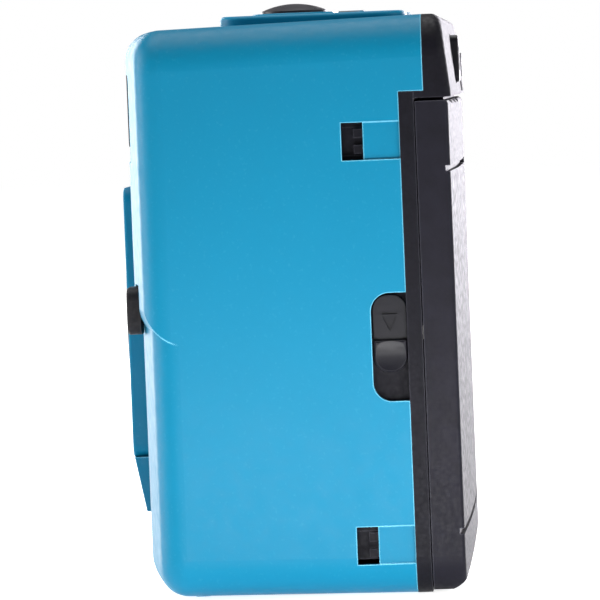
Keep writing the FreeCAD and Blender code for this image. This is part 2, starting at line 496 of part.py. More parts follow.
def lens_and_shutter():
    """Two-element lens, its mount, the fixed aperture and the single-blade shutter."""
    z = AXIS_Z
    bezel = rod_y(0, z, PANEL_FRONT_Y - 0.55, -15.0, LENS_BEZEL_R)
    bezel = softened(bezel, 0.4, rim(bezel, "y", PANEL_FRONT_Y - 0.55))
    cone = Part.makeCone(8.0, 4.6, 3.2, V(0, PANEL_FRONT_Y - 0.56, z), V(0, 1, 0))
    bezel = cut(bezel, cone, rod_y(0, z, -17, -14, 5.2))
    bezel = bezel.cut(rod_y(0, z, -20, PANEL_FRONT_Y - 0.3, 8.9).cut(rod_y(0, z, -21, 0, 8.6)))
    add("lens_bezel", bezel)
    barrel = fuse(rod_y(0, z, -16.2, -9.2, 5.1), rod_y(0, z, -14.9, -14.1, 7.0))
    barrel = cut(barrel, rod_y(0, z, -17, -13.2, 4.1), rod_y(0, z, -14, -8, 3.4),
                 rod_y(0, z, -12.4, -9, 3.8))
    add("lens_barrel", barrel)
    front = rod_y(0, z, -16.0, -13.3, 4.05).common(Part.makeSphere(11.0, V(0, -5.0, z)))
    front = front.cut(Part.makeSphere(9.0, V(0, -5.4, z)))
    add("front_lens_element", front)
    rear = rod_y(0, z, -12.3, -9.0, 3.75).common(Part.makeSphere(10.0, V(0, -19.9, z)))
    add("rear_lens_element", rear)
    stop = rod_y(0, z, -9.15, -8.85, 7.6).cut(rod_y(0, z, -10, -8, 1.15))
    add("aperture_plate", stop)
    plate = rounded_box(-11.4, 11.4, -7.0, -6.2, z - 14.0, z + 14.0, 1.5, "y")
    plate = cut(plate, rod_y(0, z, -9, -5, 2.6), rod_y(*BLADE_PIVOT, -9, -5, 0.7),
                rod_y(*TRIP_PIVOT, -9, -5, 0.7))
    corners = ((-9.6, z - 12), (9.6, z - 12), (9.6, z + 12), (-9.6, z + 12))
    spacers = [rod_y(x, zz, -8.8, -6.2, 1.2) for x, zz in corners]
    plate = fuse(plate, *spacers)
    add("shutter_plate", plate)
    cover = rounded_box(-11.4, 11.4, -10.2, -9.3, z - 14.0, z + 14.0, 1.5, "y")
    cover = cut(cover, rod_y(0, z, -12, -8, 5.3))
    cover = fuse(cover, *[rod_y(x, zz, -9.4, -8.9, 1.2)
                          for x, zz in ((-9.6, z - 12), (9.6, z - 12), (9.6, z + 12), (-9.6, z + 12))])
    add("shutter_housing", cover)
    # single blade, swinging about the pivot above and to the side of the lens
    px, pz = BLADE_PIVOT
    blade = fuse(rod_y(0, z, -8.2, -7.95, 4.2), rod_y(px, pz, -8.2, -7.95, 1.9),
                 hull_bar(px, pz, 0, z, 1.6, -8.2, -7.95))
    blade = blade.cut(rod_y(px, pz, -9, -7, 0.65 + RUN))
    tail = box(px - 0.5, px + 6.0, -8.2, -7.95, pz - 0.8, pz + 0.8)
    blade = fuse(blade, tail.cut(rod_y(px, pz, -9, -7, 0.65 + RUN)))
    add("shutter_blade", blade)
    qx, qz = TRIP_PIVOT
    trip = fuse(rod_y(qx, qz, -7.8, -7.2, 1.7), hull_bar(qx, qz, qx - 1.0, qz + 10.5, 0.9, -7.8, -7.2),
                hull_bar(qx, qz, qx + 4.6, qz - 1.0, 0.9, -7.8, -7.2))
    trip = trip.cut(rod_y(qx, qz, -9, -7, 0.65 + RUN))
    add("shutter_trip_lever", trip)
    add("shutter_pivot_pins", rod_y(px, pz, -8.75, -6.1, 0.65), rod_y(qx, qz, -8.75, -6.1, 0.65))
    # tapered baffle between the shutter and the film gate
    small, large = upright_frame(-6.1, z, 5.0, 6.2), upright_frame(FILM_Y - 1.65, z, 9.6, 13.2)
    outer = Part.makeLoft([small, large], True, True)
    small, large = upright_frame(-6.2, z, 4.2, 5.4), upright_frame(FILM_Y - 1.6, z, 8.8, 12.4)
    inner = Part.makeLoft([small, large], True, True)
    add("light_baffle", outer.cut(inner))


def hull_bar(x0, z0, x1, z1, half_width, y0, y1):
    """Flat bar between two points, seen along Y."""
    length = math.hypot(x1 - x0, z1 - z0)
    bar = box(0, length, 0, y1 - y0, -half_width, half_width)
    bar.rotate(V(0, 0, 0), V(0, 1, 0), -math.degrees(math.atan2(z1 - z0, x1 - x0)))
    bar.translate(V(x0, y0, z0))
    return bar


# ---------------------------------------------------------------- film transport
def film_transport():
    """Thumb wheel and take-up spool, sprocket shaft, frame counter and anti-reverse pawl."""
    x, y = SPOOL
    low, high = RAIL_Z
    z0, z1 = WHEEL_Z
    wheel = rod(x, y, z0, z1, WHEEL_R)
    teeth = 48
    notch = rod(x + WHEEL_R + 0.25, y, z0 - 1, z1 + 1, 0.55)
    notches = []
    for i in range(teeth):
        turned = notch.copy()
        turned.rotate(V(x, y, 0), V(0, 0, 1), i * 360.0 / teeth)
        notches.append(turned)
    wheel = wheel.cut(Part.makeCompound(notches))
    wheel = wheel.cut(rod(x, y, z1 - 0.8, z1 + 1, WHEEL_R - 2.2).cut(rod(x, y, z1 - 2, z1 + 1, 2.6)))
    ratchet = rod(x, y, z0 - 1.0, z0, 4.6)
    ratchet = ratchet.cut(Part.makeCompound(ratchet_notches(x, y, z0 - 1.2, z0, 4.6, 16)))
    add("thumb_wheel", fuse(wheel, ratchet))
    shaft = fuse(rod(x, y, low + 0.3, high - 0.3, SPOOL_R), rod(x, y, low - 1.4, low + 0.4, 1.6),
                 rod(x, y, high - 0.4, z0 - 1.02, 3.3 - RUN))
    slots = [box(x - 0.6, x + 0.6, y - 8, y + 8, AXIS_Z - 17, AXIS_Z - 12),
             box(x - 8, x + 8, y - 0.6, y + 0.6, AXIS_Z - 17, AXIS_Z - 12),
             box(x - 0.6, x + 0.6, y - 8, y + 8, AXIS_Z + 12, AXIS_Z + 17)]
    shaft = cut(shaft, *slots)
    rings = [rod(x, y, z - 0.4, z + 0.4, SPOOL_R + 1.2) for z in (AXIS_Z - 18.2, AXIS_Z + 18.2)]
    add("take_up_spool", fuse(shaft, *rings))
    # sprocket shaft with its toothed drum and shutter cam
    x, y = SPROCKET
    drum_z = AXIS_Z + 15.2
    shaft = fuse(rod(x, y, 3.6, 58.4, 1.6), rod(x, y, drum_z - 2.6, drum_z + 2.6, SPROCKET_R - 1.2),
                 rod(x, y, drum_z - 1.4, drum_z + 1.4, SPROCKET_R))
    tooth = Part.makeCone(0.95, 0.45, 1.3, V(SPROCKET_R - 0.2, 0, 0), V(1, 0, 0))
    made = []
    for i in range(8):
        copy = tooth.copy()
        copy.rotate(V(0, 0, 0), V(0, 0, 1), i * 45.0)
        copy.translate(V(x, y, drum_z))
        made.append(copy)
    add("film_sprocket", fuse(shaft, *made))
    cam = cut(rod(x, y, 31.0, 32.6, 4.6), rod(x, y, 30, 34, 1.61),
              box(x - 5, x + 5, y + 3.2, y + 6, 30, 34), box(x - 5, x + 5, y - 6, y - 3.2, 30, 34))
    add("shutter_cam", cam)
    # frame counter
    dial = rod(x, y, 60.2, 60.7, 5.7)
    edge = Part.makeCompound(ratchet_notches(x, y, 60, 61, 5.7, 40))
    dial = dial.cut(edge).cut(rod(x, y, 59, 62, 1.1 + RUN))
    add("counter_dial", dial)


def ratchet_notches(x, y, z0, z1, r, count):
    """Saw-tooth cutters round a disc."""
    made = []
    for i in range(count):
        step = 2 * math.pi / count
        tip = Part.makePolygon([V(r - 0.5, 0, z0), V(r + 0.3, 0, z0),
                                V((r + 0.3) * math.cos(step * 0.8), (r + 0.3) * math.sin(step * 0.8), z0),
                                V(r - 0.5, 0, z0)])
        tooth = Part.Face(tip).extrude(V(0, 0, z1 - z0))
        tooth.rotate(V(0, 0, 0), V(0, 0, 1), i * 360.0 / count)
        tooth.translate(V(x, y, 0))
        made.append(tooth)
    return made


def pawl():
    """Anti-reverse pawl of the thumb wheel."""
    x, y = PAWL
    z = WHEEL_Z[0] - 1.0
    arm = fuse(rod(x, y, z + 0.1, z + 0.8, 1.3), box(x - 0.5, x + 0.5, y, y + 0.9, z + 0.1, z + 0.8))
    nose = Part.Face(Part.makePolygon([V(x - 5.2, y + 2.4, z + 0.1), V(x, y - 0.9, z + 0.1),
                                       V(x + 0.5, y + 0.9, z + 0.1), V(x - 4.8, y + 3.0, z + 0.1),
                                       V(x - 5.2, y + 2.4, z + 0.1)])).extrude(V(0, 0, 0.7))
    add("anti_reverse_pawl", fuse(arm, nose).cut(rod(x, y, 40, 60, 0.8 + RUN)))


# ---------------------------------------------------------------- shutter release
def release():
    """Shutter button, the release lever fixed under it and their return spring."""
    x, y = BUTTON
    dome = Part.makeSphere(9.5, V(x, y, BUTTON_TOP - 9.5)).common(rod(x, y, BUTTON_TOP - 1.2, 70, BUTTON_R))
    button = fuse(rod(x, y, 60.6, BUTTON_TOP - 1.15, BUTTON_R), dome, rod(x, y, 59.6, 60.7, BUTTON_R + 0.7),
                  rod(x, y, 59.12, 59.7, 1.5))
    add("shutter_button", button)
    lever = fuse(box(x - 1.5, -27.6, -1.2, 0.4, 58.3, 59.1), box(-28.8, -27.6, -8.8, 0.4, 58.3, 59.1),
                 box(-28.8, -27.6, -8.8, -8.3, 53.4, 59.1), box(-28.8, -4.8, -8.8, -8.3, 53.4, 55.0),
                 box(-5.8, -4.8, -8.8, -8.3, 34.6, 55.0))
    add("release_lever", lever)
    add("button_spring", spring(-28.2, -4.0, RAIL_Z[1] + 1.42, 58.06, 1.0, 0.2, 4))


# ---------------------------------------------------------------- rewind
def rewind():
    """Rewind fork in the cassette chamber and the folding crank under the camera."""
    x, y = CASSETTE
    low = RAIL_Z[0]
    hub = rod(x, y, 0.6, 2.9, 8.6)
    hub = softened(hub, 0.3, rim(hub, "z", 0.6))
    slot = rounded_box(x - 2.6, x + 12.0, y - 2.6, y + 2.6, 0.2, 2.4, 2.5, "z")
    hub = hub.cut(slot)
    hub = hub.cut(rod_y(x, 1.3, y - 4.6, y + 4.6, 0.4 + RUN))
    shaft = rod(x, y, 2.8, low + 0.4, 3.2)
    fork = fuse(rod(x, y, low + 0.3, low + 1.2, 4.0), rod(x, y, low + 1.1, low + 5.2, 2.2))
    fork = fork.cut(box(x - 0.9, x + 0.9, y - 3, y + 3, low + 2.6, low + 6))
    add("rewind_hub", fuse(hub, shaft, fork))
    arm = rounded_box(x - 4.0, x + 7.9, y - 2.3, y + 2.3, 0.75, 1.85, 2.2, "z").common(
        box(x - 0.75, x + 9, y - 3, y + 3, 0, 3))
    arm = fuse(arm, rod_y(x, 1.3, y - 4.5, y + 4.5, 0.4))
    arm = arm.cut(rod(x + 5.4, y, 0, 3, 0.7 + RUN))
    arm = arm.cut(rod(x + 5.4, y, 0.5, 1.0, 1.2))
    add("crank_arm", arm)
    knob = fuse(rod(x + 5.4, y, 0.4, 0.72, 1.9), rod(x + 5.4, y, 0.5, 1.95, 0.7))
    add("crank_knob", knob)
    # rewind release, pushed up towards the sprocket shaft
    sx, sy = SPROCKET
    button = fuse(rod(sx, sy, 0.35, 1.9, 2.35), rod(sx, sy, 1.8, 2.3, 3.1))
    button = softened(button, 0.3, rim(button, "z", 0.35))
    add("rewind_release_button", button)


# ---------------------------------------------------------------- flash and battery
def flash_unit():
    x0, x1 = FLASH_X
    z0, z1 = FLASH_Z
    zc = (z0 + z1) / 2
    outer = box(x0 + 1.0, x1 - 1.0, -15.35, -11.4, z0 + 0.9, z1 - 0.9)
    trough = Part.makeCylinder(5.0, x1 - x0, V(x0, -17.2, zc), V(1, 0, 0))
    bowl = outer.cut(trough.common(box(x0 + 1.6, x1 - 1.6, -20, -11.9, z0 + 1.3, z1 - 1.3)))
    bowl = bowl.cut(rod_x(-13.9, zc, x0, x1, 1.15))
    add("flash_reflector", bowl)
    tube = fuse(rod_x(-13.9, zc, x0 + 0.3, x1 - 0.3, 1.1))
    add("flash_tube", tube)
    board = rounded_box(-49.0, -24.0, -11.6, -10.4, 9.0, 45.0, 1.0, "y")
    board = cut(board, rod_y(-46.6, 42.4, -13, -9, 1.1), rod_y(-26.6, 11.4, -13, -9, 1.1))
    add("flash_board", board)
    cap_x, cap_y = -17.6, -5.6
    can = rod(cap_x, cap_y, 7.0, 33.0, 4.4)
    can = softened(can, 0.5, rim(can, "z", 33.0))
    add("flash_capacitor", can)
    core = fuse(box(-47.0, -38.6, -10.38, -6.2, 14.0, 21.4))
    coil = rounded_box(-46.0, -39.6, -10.2, -5.6, 13.0, 22.4, 1.5, "z")
    add("flash_transformer", fuse(core, coil))
    chips = [box(-36.4, -32.0, -10.38, -8.6, 36.0, 40.0), box(-34.0, -31.0, -10.38, -8.8, 28.0, 31.0),
             box(-45.0, -42.6, -10.38, -9.4, 33.0, 36.6), box(-41.0, -38.4, -10.38, -9.4, 26.0, 27.6)]
    add("board_components", *chips)
    lamp = fuse(rod_y(9.4, 57.0, 14.9, BACK_Y - 0.3, 1.2))
    add("flash_ready_lamp", lamp)


def battery():
    x, y = BATTERY
    z0 = 3.4
    cell = rod(x, y, z0, z0 + 43.4, BATTERY_R - 0.1)
    cell = softened(cell, 0.4, rim(cell, "z", z0) + rim(cell, "z", z0 + 43.4))
    nub = rod(x, y, z0 + 43.3, z0 + BATTERY_LENGTH, 1.9)
    add("battery_cell", fuse(cell, nub))
    top = z0 + BATTERY_LENGTH
    contact = fuse(box(x - 2.6, x + 2.6, y - 2.6, y + 2.6, top + 0.03, top + 0.4),
                   box(x - 1.4, x + 1.4, y + 2.5, y + 5.4, top + 0.03, top + 0.4))
    add("battery_positive_contact", contact)
    sleeve = rod(x, y, 4.2, 46.6, BATTERY_R + 0.95).cut(rod(x, y, 4, 47, BATTERY_R + 0.15))
    sleeve = fuse(sleeve, box(x - 3, x + 3, y + BATTERY_R + 0.2, y + BATTERY_R + 0.9, 40.0, 49.2),
                  box(x - 3, x + 3, y - 3.4, y + BATTERY_R + 0.9, top + 0.42, 49.2))
    add("battery_holder", sleeve)
    front = y - 5.45
    cover = rounded_box(x - 7.0, x + 7.0, front - 2, y + 6.2, 0.55, 2.01, 1.2, "z").common(
        box(0, 60, front, 20, 0, 3))
    grips = [box(x - 3.5, x + 3.5, y + 1.0 + i * 1.2, y + 1.5 + i * 1.2, 0.3, 0.85) for i in range(3)]
    cover = fuse(cover, rod_x(front, 1.28, x - 7.0, x + 7.0, 0.73), *grips)
    add("battery_cover", cover)
    add("battery_negative_spring", spring(x, y, 2.2, z0 - 0.22, 2.6, 0.18, 2))


# ---------------------------------------------------------------- film door and latch
def film_door():
    """Door shell with its moving hinge knuckles, pressure plate, spring and catch."""
    slab = rear_outline(STRIP_Y + 0.12, BACK_Y + BACK_BOW)
    slab = slab.common(box(DOOR_X0, 60, 0, 30, DOOR_FOOT_Z, DOOR_TOP_Z))
    slab = slab.common(bow_cylinder())
    slab = slab.cut(foot_rounding())
    outer_edges = [e for e in back_edges(slab) if e.BoundBox.XMin > HALF - 6 or e.BoundBox.ZMin > 50]
    slab = softened(slab, 0.45, outer_edges)
    hollow = rounded_box(DOOR_X0 + 1.4, 53.4, 10, BACK_Y - 1.45, 2.0, DOOR_TOP_Z - 1.4, 0.8, "y")
    door = slab.cut(hollow)
    # low rib along the top edge that shuts the gap under the rear cover
    door = fuse(door, box(-44, 44, 15.6, 18.2, DOOR_TOP_Z - 1.0, DOOR_TOP_Z + 0.25))
    # outline groove of the grip panel, running out over the latch edge
    x0, z0, z1, wide = -16.0, 6.6, 45.0, 0.6
    ring = rounded_box(x0, 62, 10, 25, z0 - wide / 2, z1 + wide / 2, 2.2, "y").cut(
        rounded_box(x0 + wide, 64, 9, 26, z0 + wide / 2, z1 - wide / 2, 1.7, "y"))
    ring = ring.cut(bow_cylinder(0.5))
    door = door.cut(ring)
    door = door.cut(Part.makeSphere(1.5, V(HALF - 2.6, BACK_Y + 1.05, 27.4)))
    # inner stiffening ribs and the posts that carry the pressure plate's spring
    ribs = [box(x, x + 0.8, BACK_Y - 2.6, BACK_Y - 1.4, 2.0, DOOR_TOP_Z - 1.4) for x in (-30.0, 23.5)]
    posts = [rod_y(x, AXIS_Z, FILM_Y + 2.4, BACK_Y - 1.4, 1.0) for x in (-11.7, 11.7)]
    door = fuse(door, *ribs, *posts)
    x, y = HINGE
    for a, b in HINGE_MOVING:
        knuckle = fuse(rod(x, y, a, b, HINGE_R), box(x, DOOR_X0 + 0.5, y - 0.5, y + 0.9, a, b))
        door = fuse(door, knuckle)
    door = door.cut(rod(x, y, 0, 60, PIN_R + RUN))
    door = door.cut(box(46.6, 53.5, 0, STRIP_Y + 0.1, 0, 60))
    add("film_door", max(door.Solids, key=lambda s: s.Volume))
    add("hinge_pin", rod(x, y, HINGE_FIXED[0][0] + 0.2, HINGE_FIXED[-1][1] - 0.2, PIN_R))
    # catch that reaches forward over the slider's hook
    z = LATCH_Z[0] + 6.4
    foot = box(51.6, 53.35, BACK_Y - 2.3, BACK_Y - 1.46, z - 1.2, z + 2.6)
    tongue = box(52.15, 52.75, 11.4, BACK_Y - 2.2, z, z + 1.4)
    barb = box(52.15, 52.75, 11.4, 12.4, z - 1.2, z + 0.1)
    add("door_catch", fuse(foot, tongue, barb))
    # pressure plate and its leaf spring
    plate = rounded_box(-15.0, 15.0, FILM_Y + 0.5, FILM_Y + 1.2, AXIS_Z - 17.4, AXIS_Z + 17.4, 1.5, "y")
    plate = softened(plate, 0.25, rim(plate, "y", FILM_Y + 0.5))
    dimples = [Part.makeSphere(2.0, V(dx, FILM_Y + 2.9, AXIS_Z + dz)) for dx in (-9, 9) for dz in (-11, 11)]
    add("pressure_plate", cut(plate, *dimples))
    front, rear = FILM_Y + 2.2, FILM_Y + 2.4
    spine = Part.Wire([Part.Arc(V(-11, front, 0), V(0, front - 0.75, 0), V(11, front, 0)).toShape()])
    other = Part.Wire([Part.Arc(V(-11, rear, 0), V(0, rear - 0.75, 0), V(11, rear, 0)).toShape()])
    leaf = Part.makeRuledSurface(spine, other).extrude(V(0, 0, 6.0))
    ends = [box(-12.4, -10.9, front, rear, 0, 6), box(10.9, 12.4, front, rear, 0, 6)]
    leaf = fuse(Part.makeSolid(leaf.Shells[0]) if not leaf.Solids else leaf.Solids[0], *ends)
    leaf.translate(V(0, 0, AXIS_Z - 3.0))
    add("pressure_spring", leaf)


def bow_cylinder(depth=0.0):
    """Upright cylinder whose skin is the bowed back surface, or lies a little under it."""
    radius = (50.0 ** 2 + BACK_BOW ** 2) / (2 * BACK_BOW)
    return Part.makeCylinder(radius - depth, 80, V(2, BACK_Y + BACK_BOW - radius, -5), V(0, 0, 1))


def foot_rounding():
    """Cutter that rounds the lower rear edge of the door."""
    x, low, high = -60, V(-60, 17.3, 0.3), V(-60, 19.5, 3.4)
    edges = [Part.Arc(low, V(x, 18.75, 1.35), high).toShape(), Part.makeLine(high, V(x, 22, 3.4)),
             Part.makeLine(V(x, 22, 3.4), V(x, 22, -1)), Part.makeLine(V(x, 22, -1), V(x, 17.3, -1)),
             Part.makeLine(V(x, 17.3, -1), low)]
    return Part.Face(Part.Wire(edges)).extrude(V(120, 0, 0))


def back_edges(shape):
    """Edges of the bowed back face."""
    faces = [f for f in shape.Faces if f.Surface.TypeId == "Part::GeomCylinder" and f.Surface.Radius > 500]
    return max(faces, key=lambda f: f.Area).OuterWire.Edges


def latch():
    """Sliding latch in the end opening, with its inner hook, and its spring."""
    low, high = LATCH_Z
    x_plate = HALF - 0.75
    y0, y1 = LATCH_Y + 0.22, SEAM_Y - 0.08
    yc = (y0 + y1) / 2
    flat = rounded_box(53.7, x_plate, y0, y1, low + 6.2, high - 0.3, 1.5, "x")
    flat = fuse(flat, box(53.7, x_plate - 0.25, y0, y1, low + 6.2, low + 8.5))
    bump = rounded_box(53.7, HALF, y0, y1, low + 3.1, low + 10.3, 1.6, "x")
    bump = bump.common(box(50, 60, 0, 20, low, low + 6.5))
    bump = softened(bump, 0.3, rim(bump, "x", HALF))
    bump = bump.cut(Part.makeSphere(6.0, V(HALF + 5.75, yc, low + 4.9)))
    # arrow engraved in the flat part, pointing the way it slides
    x_cut = x_plate - 0.3
    left, right, tip = V(x_cut, yc - 0.8, low + 9.0), V(x_cut, yc + 0.8, low + 9.0), V(x_cut, yc, low + 7.4)
    arrow = Part.Face(Part.makePolygon([left, right, tip, left])).extrude(V(1, 0, 0))
    arrow = fuse(arrow, box(x_cut, HALF, yc - 0.8, yc + 0.8, low + 9.2, low + 9.45))
    stem = box(52.9, 53.8, 10.4, 11.6, low + 8.5, low + 9.9)
    bar = box(51.9, 52.95, 10.0, 11.1, low + 2.8, low + 9.9)
    hook = box(51.9, 52.95, 10.0, 14.2, low + 2.8, low + 5.0)
    add("latch_slider", fuse(cut(flat, arrow), bump, stem, bar, hook))
    add("latch_spring", spring(52.45, 12.6, low - 6.15, low + 2.7, 0.36, 0.1, 9))


def flash_switch():
    """Slide switch on the front, with its inner contact plate."""
    x, z = SWITCH_X, SWITCH_Z
    front = -16.9
    knob = rounded_box(x - 3.2, x + 3.2, front, -15.4, z - 2.55, z + 2.55, 1.4, "y")
    knob = softened(knob, 0.35, rim(knob, "y", front))
    ridges = [box(x + dx - 0.25, x + dx + 0.25, front - 0.1, front + 0.3, z - 3, z + 3)
              for dx in (-1.6, 0, 1.6)]
    stem = box(x - 3.0, x, -15.5, -12.4, z - 1.2, z + 1.2)
    plate = box(x - 4.4, x + 1.4, -12.5, -11.9, z - 3.0, z + 3.0)
    add("flash_switch", fuse(cut(knob, *ridges), stem))
    add("switch_contact_plate", plate.cut(stem))


def light_seals():
    """Foam strips on the chassis that the door closes over."""
    add("door_light_seals", box(-48, 50, STRIP_Y, 15.9, 2.2, 2.9), box(52.3, 53.1, STRIP_Y, 15.9, 5.0, 20.0),
        box(52.3, 53.1, STRIP_Y, 15.9, 33.0, 50.0))


# ---------------------------------------------------------------- fasteners
def screws():
    made = []
    for x, z in SCREWS:
        head_y = SEAM_Y - 1.15
        head = rod_y(x, z, head_y, head_y + 0.8, 1.9)
        head = softened(head, 0.3, rim(head, "y", head_y + 0.8))
        recess = box(x - 1.1, x + 1.1, head_y + 0.35, head_y + 1, z - 0.2, z + 0.2).fuse(
            box(x - 0.2, x + 0.2, head_y + 0.35, head_y + 1, z - 1.1, z + 1.1))
        shank = rod_y(x, z, 5.6, head_y, 0.88)
        made.append(fuse(head.cut(recess), shank))
    add("case_screws", *made)


def main():
    front_shell()
    lens_panel()
    top_deck()
    small_windows()
    chassis()
    rear_top_cover()
    viewfinder()
    lens_and_shutter()
    film_transport()
    pawl()
    release()
    rewind()
    flash_unit()
    battery()
    film_door()
    latch()
    flash_switch()
    light_seals()
    screws()
    os.makedirs("parts", exist_ok=True)
    for name, shape in PARTS.items():
        shape.exportStep(f"parts/{name}.step")


if __name__ == "__main__":
    main()
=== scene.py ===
"""Looks for the half frame camera: materials, small surface pieces, floor, lights and camera."""

import bpy
import bmesh
import math
from mathutils import Matrix, Vector


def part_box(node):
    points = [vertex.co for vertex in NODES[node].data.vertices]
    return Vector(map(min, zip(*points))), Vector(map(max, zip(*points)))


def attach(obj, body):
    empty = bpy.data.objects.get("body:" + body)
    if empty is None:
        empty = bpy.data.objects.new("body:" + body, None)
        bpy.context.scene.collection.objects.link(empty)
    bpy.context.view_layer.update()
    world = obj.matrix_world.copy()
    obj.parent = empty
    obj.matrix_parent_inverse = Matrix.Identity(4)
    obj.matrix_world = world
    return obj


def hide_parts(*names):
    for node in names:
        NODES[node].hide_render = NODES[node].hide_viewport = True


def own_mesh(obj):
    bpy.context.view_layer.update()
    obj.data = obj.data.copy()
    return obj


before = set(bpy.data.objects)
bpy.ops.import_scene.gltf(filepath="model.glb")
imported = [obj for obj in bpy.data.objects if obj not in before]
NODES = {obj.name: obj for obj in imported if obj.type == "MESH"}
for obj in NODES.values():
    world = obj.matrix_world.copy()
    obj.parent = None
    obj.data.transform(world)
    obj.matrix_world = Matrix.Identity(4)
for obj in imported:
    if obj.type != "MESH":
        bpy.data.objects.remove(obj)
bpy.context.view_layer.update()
MM = 0.001
EDGE_RADIUS = 0.2 * MM              # how far from a sharp edge the painted edge highlight, and the worn paint on steel, reach
PANEL_X = (-15.3 * MM, 51.6 * MM)   # pebbled panel of the film door, inside its groove
PANEL_Z = (7.2 * MM, 44.4 * MM)
PANEL_Y = 18.2 * MM                 # the panel is on the door's outer face, behind this depth
BEVEL_ANGLE = math.radians(40)      # edges that turn by more than this get a bevel
COIL_STEPS = 28                     # segments in one turn of a wound spring
COIL_SIDES = 10                     # sides of its wire
COIL_CLOSING = 0.35                 # how much closer its end coils lie
DIAL_FRAMES = 40                    # ticks round the counter dial
FLOOR_SIZE = 6.0
FLOOR_DROP = 0.05 * MM              # gap that keeps the floor clear of the object's underside
SENSOR = 36.0                       # of the scene's camera, in its own millimetres
VIEW_WIDTH = 63.4 * MM              # what the scene's camera sees at the distance it aims at


# ---------------------------------------------------------------- node helpers
class Graph:
    """Short way to build one material's nodes."""

    def __init__(self, name):
        self.material = bpy.data.materials.new(name)
        self.material.use_nodes = True
        self.tree = self.material.node_tree
        self.shader = self.tree.nodes["Principled BSDF"]
        self.place = self.tree.nodes.new("ShaderNodeTexCoord").outputs["Object"]

    def fill(self, socket, value):
        """Link a socket to another node's output, or set its own value."""
        if isinstance(value, bpy.types.NodeSocket):
            self.tree.links.new(value, socket)
        else:
            socket.default_value = value

    def node(self, kind, **inputs):
        made = self.tree.nodes.new("ShaderNode" + kind)
        for key, value in inputs.items():
            self.fill(made.inputs[key.replace("_", " ")], value)
        return made

    def link(self, source, socket):
        self.tree.links.new(source, self.shader.inputs[socket])

    def set(self, **values):
        for key, value in values.items():
            self.shader.inputs[key.replace("_", " ")].default_value = value

    def noise(self, scale, detail, place=None):
        made = self.node("TexNoise", Vector=place or self.place, Scale=scale, Detail=detail)
        return made.outputs["Fac"]

    def cells(self, scale, feature="F1", smooth=None):
        made = self.tree.nodes.new("ShaderNodeTexVoronoi")
        made.feature = feature
        self.tree.links.new(self.place, made.inputs["Vector"])
        made.inputs["Scale"].default_value = scale
        if smooth is not None:
            made.inputs["Smoothness"].default_value = smooth
        return made.outputs["Distance"]

    def math(self, operation, a, b=0.0, clamp=False):
        made = self.tree.nodes.new("ShaderNodeMath")
        made.operation = operation
        made.use_clamp = clamp
        self.fill(made.inputs[0], a)
        self.fill(made.inputs[1], b)
        return made.outputs[0]

    def times(self, a, b):
        return self.math("MULTIPLY", a, b)

    def plus(self, a, b):
        return self.math("ADD", a, b)

    def minus(self, a, b):
        return self.math("SUBTRACT", a, b)

    def above(self, a, b):
        """1 where a is more than b, else 0."""
        return self.math("GREATER_THAN", a, b)

    def below(self, a, b):
        """1 where a is less than b, else 0."""
        return self.math("LESS_THAN", a, b)

    def within(self, value, low, high):
        return self.times(self.above(value, low), self.below(value, high))

    def zigzag(self, value):
        """Runs from 0 up to 1 and back again, once for every 2 of the value."""
        return self.math("PINGPONG", value, 1.0)

    def ramp(self, value, *stops):
        made = self.node("ValToRGB", Fac=value)
        ramp = made.color_ramp
        while len(ramp.elements) < len(stops):
            ramp.elements.new(0.5)
        for element, (position, colour) in zip(ramp.elements, stops):
            element.position = position
            element.color = (*colour, 1.0)
        return made.outputs["Color"]

    def range(self, value, low, high, to_low, to_high):
        made = self.node("MapRange", Value=value)
        made.inputs["From Min"].default_value = low
        made.inputs["From Max"].default_value = high
        made.inputs["To Min"].default_value = to_low
        made.inputs["To Max"].default_value = to_high
        return made.outputs["Result"]

    def mix(self, share, a, b):
        made = self.tree.nodes.new("ShaderNodeMix")
        made.data_type = "RGBA"
        # a colour mix has its factor at input 0, its colours at inputs 6 and 7 and its result at output 2
        self.fill(made.inputs[0], share)
        for socket, value in ((made.inputs[6], a), (made.inputs[7], b)):
            self.fill(socket, (*value, 1.0) if isinstance(value, tuple) else value)
        return made.outputs[2]

    def mix_value(self, share, a, b):
        """a where share is 0, b where it is 1."""
        return self.plus(self.times(self.minus(1.0, share), a), self.times(share, b))

    def bump(self, height, strength, distance, normal=None):
        made = self.node("Bump", Height=height, Strength=strength, Distance=distance)
        if normal is not None:
            self.tree.links.new(normal, made.inputs["Normal"])
        return made.outputs["Normal"]

    def axis(self, name):
        split = self.node("SeparateXYZ", Vector=self.place)
        return split.outputs[name]


def shade(colour, share):
    """The same colour, darker or lighter."""
    return tuple(share * c for c in colour)


def edge_wear_and_highlight(g):
    """1 where the surface turns sharply, 0 on flats and on gentle roundings: the mask of the painted edge
    highlights, and of worn paint on steel.
    """
    # the rounded and the true normal are the same on flats, and their dot product drops near an edge
    rounded = g.node("Bevel", Radius=EDGE_RADIUS).outputs["Normal"]
    flat = g.tree.nodes.new("ShaderNodeNewGeometry").outputs["Normal"]
    compare = g.tree.nodes.new("ShaderNodeVectorMath")
    compare.operation = "DOT_PRODUCT"
    g.tree.links.new(rounded, compare.inputs[0])
    g.tree.links.new(flat, compare.inputs[1])
    return g.range(compare.outputs["Value"], 0.985, 0.80, 0.0, 1.0)


